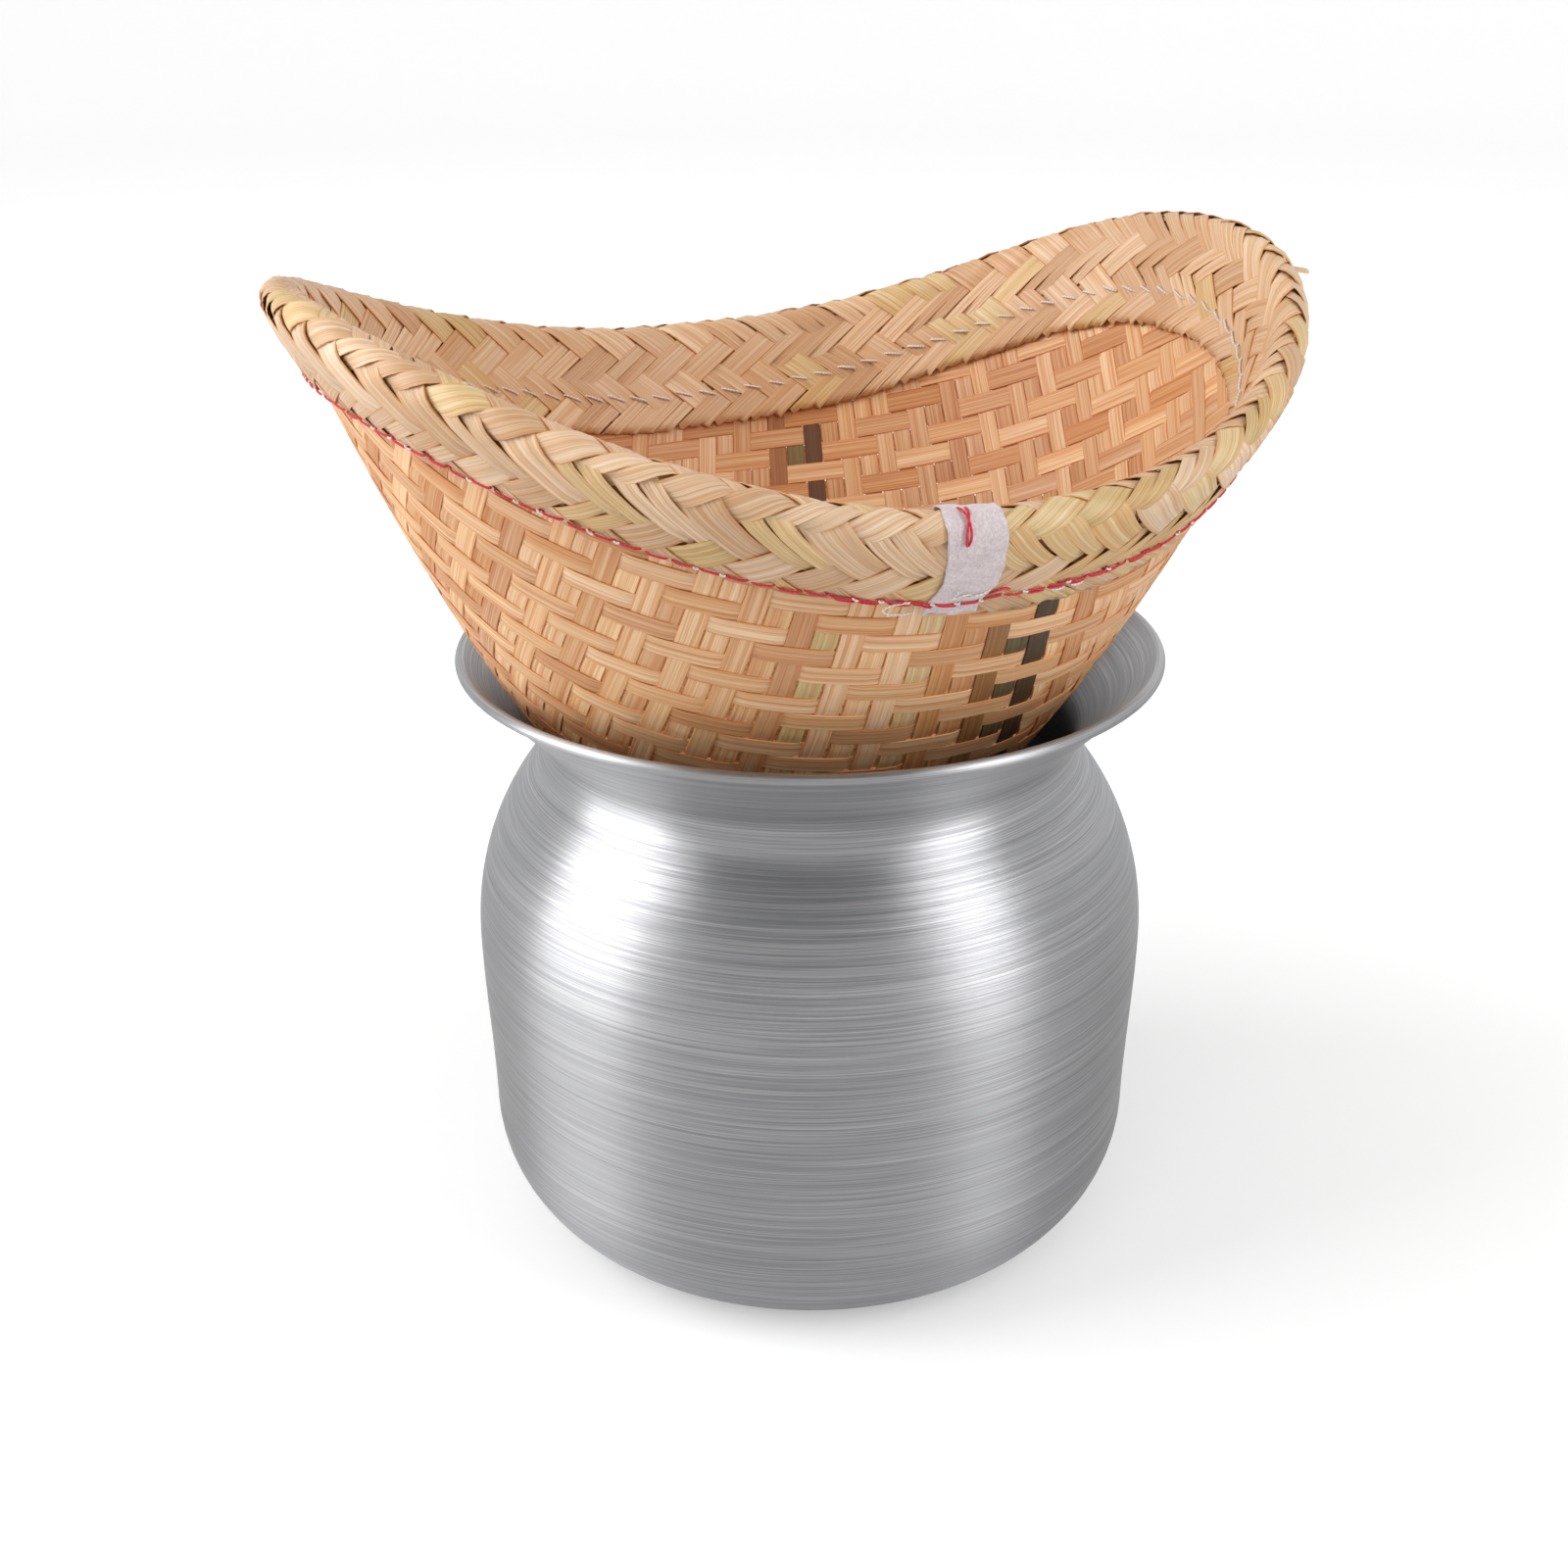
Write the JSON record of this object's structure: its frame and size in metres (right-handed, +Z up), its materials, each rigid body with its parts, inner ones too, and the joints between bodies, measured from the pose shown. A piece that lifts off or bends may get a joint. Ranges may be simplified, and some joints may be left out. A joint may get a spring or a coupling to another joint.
{
  "type": "sticky rice steamer",
  "caption": "Spun aluminium pot with a waisted neck and a flared lip, carrying a lift-off conical plaited bamboo basket with a saddle-shaped braided rim.",
  "frame": {"origin": "centre of the pot's flat base", "axes": "+Z up along the pot's axis; X along the basket's long axis, -X towards its more pointed tip; -Y is the side of the rim with the cloth tag"},
  "size_m": [0.3056, 0.2607, 0.3162],
  "materials": {
    "aluminium": "spun and brushed round the axis, bare metal",
    "bamboo": "split bamboo, satin, unvarnished",
    "pale_bamboo": "pale split bamboo with its skin, satin",
    "red_thread": "twisted sewing thread",
    "white_thread": "twisted sewing thread",
    "tag_cloth": "thin felted non-woven cloth"
  },
  "bodies": {
    "pot": {"pot": "aluminium"},
    "basket": {"basket_mat": "bamboo", "rim_band": "pale_bamboo", "red_seam_thread": "red_thread", "white_seam_thread": "white_thread", "joint_tag": "tag_cloth", "tag_tie": "red_thread", "loose_splint_end": "pale_bamboo"}
  },
  "joints": [
    {"name": "basket_lift", "type": "slide", "parent": "pot", "child": "basket", "axis": [0, 0, 1], "range_m": [0, 0.12]}
  ]
}
